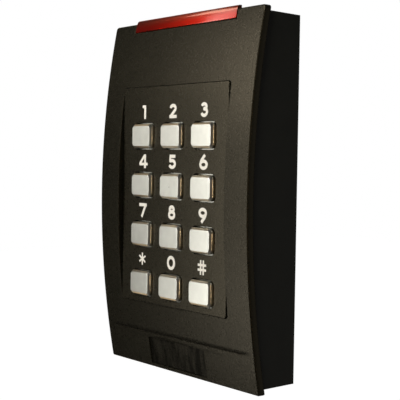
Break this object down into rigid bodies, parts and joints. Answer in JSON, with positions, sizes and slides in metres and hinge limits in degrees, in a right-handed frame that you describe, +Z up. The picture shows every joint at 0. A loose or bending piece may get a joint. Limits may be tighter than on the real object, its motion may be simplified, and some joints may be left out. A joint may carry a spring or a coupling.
{
  "type": "wall-mount card reader with keypad",
  "caption": "Slim wall-mounted proximity card reader with a bowed dark cover, metal push keys in a framed panel, a red light bar on top and a screw-locked wall plate.",
  "frame": {"origin": "centre of the wall plate's back face, in the wall plane", "axes": "+Z up along the reader's height, +Y into the wall, +X to the right seen from the front"},
  "size_m": [0.084, 0.024, 0.1232],
  "materials": {
    "cover_plastic": "fine moulded texture, charcoal brown",
    "panel_plastic": "smooth matt, charcoal brown",
    "housing_plastic": "matt black",
    "nameplate_plastic": "fine vertical grain, black",
    "key_metal": "satin nickel plate",
    "bar_red": "translucent red, polished",
    "diffuser_white": "milky white",
    "legend_ink": "printed white",
    "gasket_rubber": "matt black",
    "mat_silicone": "matt grey silicone",
    "plate_steel": "galvanised",
    "screw_steel": "zinc plated",
    "board_laminate": "green solder mask",
    "contact_gold": "gold flash",
    "coil_copper": "enamelled copper",
    "component_black": "moulded epoxy",
    "can_aluminium": "satin",
    "led_white": "clear",
    "terminal_green": "moulded green"
  },
  "bodies": {
    "reader": {"front_cover": "cover_plastic", "keypad_panel": "panel_plastic", "light_bar": "bar_red", "light_diffuser": "diffuser_white", "nameplate": "nameplate_plastic", "cover_gasket": "gasket_rubber", "cover_screws": "screw_steel", "rear_housing": "housing_plastic", "mounting_plate": "plate_steel", "security_screw": "screw_steel", "keypad_mat": "mat_silicone", "key_contacts": "contact_gold", "keypad_board": "board_laminate", "keypad_board_screws": "screw_steel", "main_board": "board_laminate", "main_board_screws": "screw_steel", "antenna_coil": "coil_copper", "status_leds": "led_white", "buzzer": "component_black", "controller_chip": "component_black", "radio_chip": "component_black", "voltage_regulator": "component_black", "capacitors": "can_aluminium", "crystal": "can_aluminium", "board_connector": "component_black", "terminal_block": "terminal_green", "terminal_screws": "screw_steel", "tamper_sensor": "component_black"},
    "button_1": {"key_1": "key_metal"},
    "button_2": {"key_2": "key_metal"},
    "button_3": {"key_3": "key_metal"},
    "button_4": {"key_4": "key_metal"},
    "button_5": {"key_5": "key_metal"},
    "button_6": {"key_6": "key_metal"},
    "button_7": {"key_7": "key_metal"},
    "button_8": {"key_8": "key_metal"},
    "button_9": {"key_9": "key_metal"},
    "button_star": {"key_star": "key_metal"},
    "button_0": {"key_0": "key_metal"},
    "button_hash": {"key_hash": "key_metal"}
  },
  "joints": [
    {"name": "press_1", "type": "slide", "parent": "reader", "child": "button_1", "axis": [0, 1, 0], "range_m": [0, 0.001], "stiffness_N_per_m": 1000, "springref_m": -0.0005, "deforming": ["keypad_mat"]},
    {"name": "press_2", "type": "slide", "parent": "reader", "child": "button_2", "axis": [0, 1, 0], "range_m": [0, 0.001], "stiffness_N_per_m": 1000, "springref_m": -0.0005, "deforming": ["keypad_mat"]},
    {"name": "press_3", "type": "slide", "parent": "reader", "child": "button_3", "axis": [0, 1, 0], "range_m": [0, 0.001], "stiffness_N_per_m": 1000, "springref_m": -0.0005, "deforming": ["keypad_mat"]},
    {"name": "press_4", "type": "slide", "parent": "reader", "child": "button_4", "axis": [0, 1, 0], "range_m": [0, 0.001], "stiffness_N_per_m": 1000, "springref_m": -0.0005, "deforming": ["keypad_mat"]},
    {"name": "press_5", "type": "slide", "parent": "reader", "child": "button_5", "axis": [0, 1, 0], "range_m": [0, 0.001], "stiffness_N_per_m": 1000, "springref_m": -0.0005, "deforming": ["keypad_mat"]},
    {"name": "press_6", "type": "slide", "parent": "reader", "child": "button_6", "axis": [0, 1, 0], "range_m": [0, 0.001], "stiffness_N_per_m": 1000, "springref_m": -0.0005, "deforming": ["keypad_mat"]},
    {"name": "press_7", "type": "slide", "parent": "reader", "child": "button_7", "axis": [0, 1, 0], "range_m": [0, 0.001], "stiffness_N_per_m": 1000, "springref_m": -0.0005, "deforming": ["keypad_mat"]},
    {"name": "press_8", "type": "slide", "parent": "reader", "child": "button_8", "axis": [0, 1, 0], "range_m": [0, 0.001], "stiffness_N_per_m": 1000, "springref_m": -0.0005, "deforming": ["keypad_mat"]},
    {"name": "press_9", "type": "slide", "parent": "reader", "child": "button_9", "axis": [0, 1, 0], "range_m": [0, 0.001], "stiffness_N_per_m": 1000, "springref_m": -0.0005, "deforming": ["keypad_mat"]},
    {"name": "press_star", "type": "slide", "parent": "reader", "child": "button_star", "axis": [0, 1, 0], "range_m": [0, 0.001], "stiffness_N_per_m": 1000, "springref_m": -0.0005, "deforming": ["keypad_mat"]},
    {"name": "press_0", "type": "slide", "parent": "reader", "child": "button_0", "axis": [0, 1, 0], "range_m": [0, 0.001], "stiffness_N_per_m": 1000, "springref_m": -0.0005, "deforming": ["keypad_mat"]},
    {"name": "press_hash", "type": "slide", "parent": "reader", "child": "button_hash", "axis": [0, 1, 0], "range_m": [0, 0.001], "stiffness_N_per_m": 1000, "springref_m": -0.0005, "deforming": ["keypad_mat"]}
  ]
}
